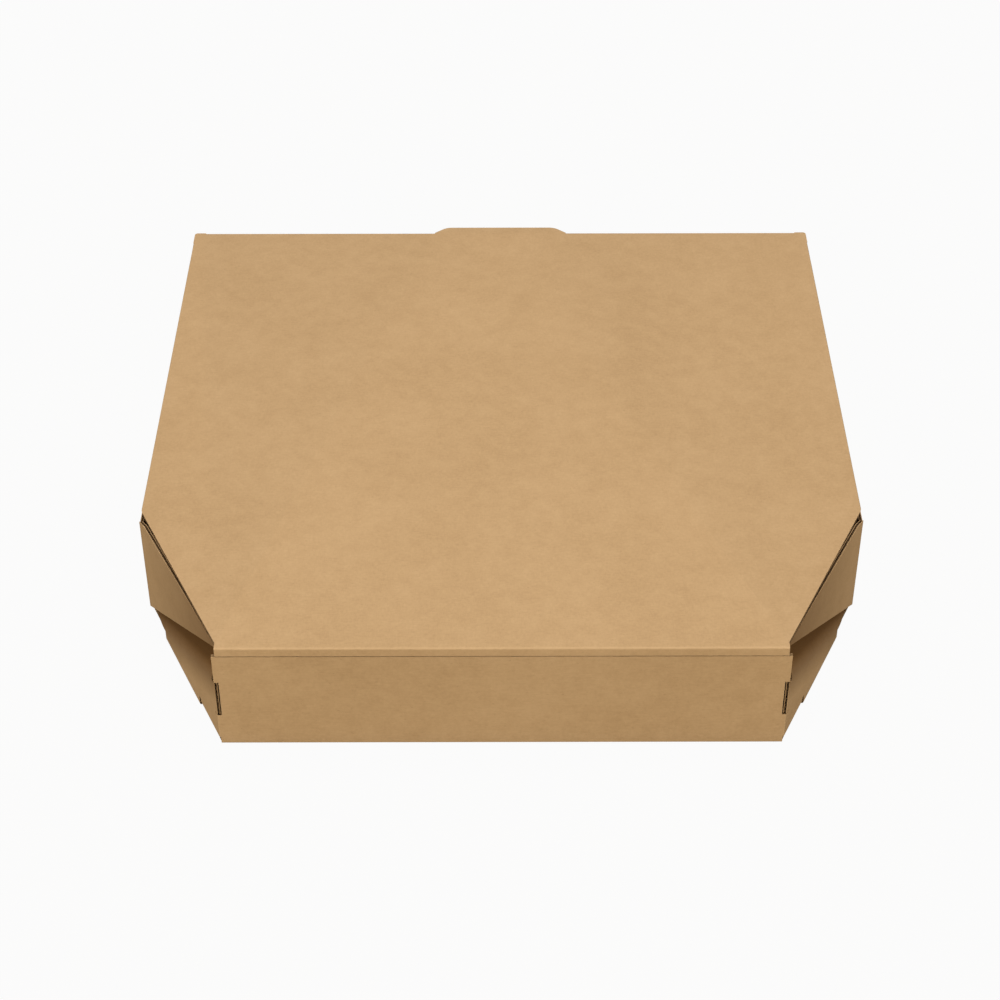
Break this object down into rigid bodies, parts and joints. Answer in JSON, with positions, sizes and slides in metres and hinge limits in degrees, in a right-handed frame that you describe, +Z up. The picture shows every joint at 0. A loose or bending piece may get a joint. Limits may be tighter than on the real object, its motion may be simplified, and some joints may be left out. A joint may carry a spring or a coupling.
{
  "type": "pizza box",
  "caption": "Flat square pizza box folded from plain brown corrugated board, with bevelled rear corners and a hinged tuck lid with a thumb tab at its front edge.",
  "frame": {"origin": "centre of the closed box's bounding box, on the surface it stands on", "axes": "+Z up, +Y from the hinge at the rear to the thumb tab at the front, +X along the hinge"},
  "size_m": [0.3068, 0.311, 0.0523],
  "materials": {
    "kraft_board": "matte uncoated brown kraft paper over E-flute board"
  },
  "bodies": {
    "tray": {"tray": "kraft_board"},
    "lid": {"lid": "kraft_board"}
  },
  "joints": [
    {"name": "lid_hinge", "type": "hinge", "parent": "tray", "child": "lid", "pos_m": [0, -0.1555, 0.0482], "axis": [1, 0, 0], "range_deg": [0, 180]}
  ]
}
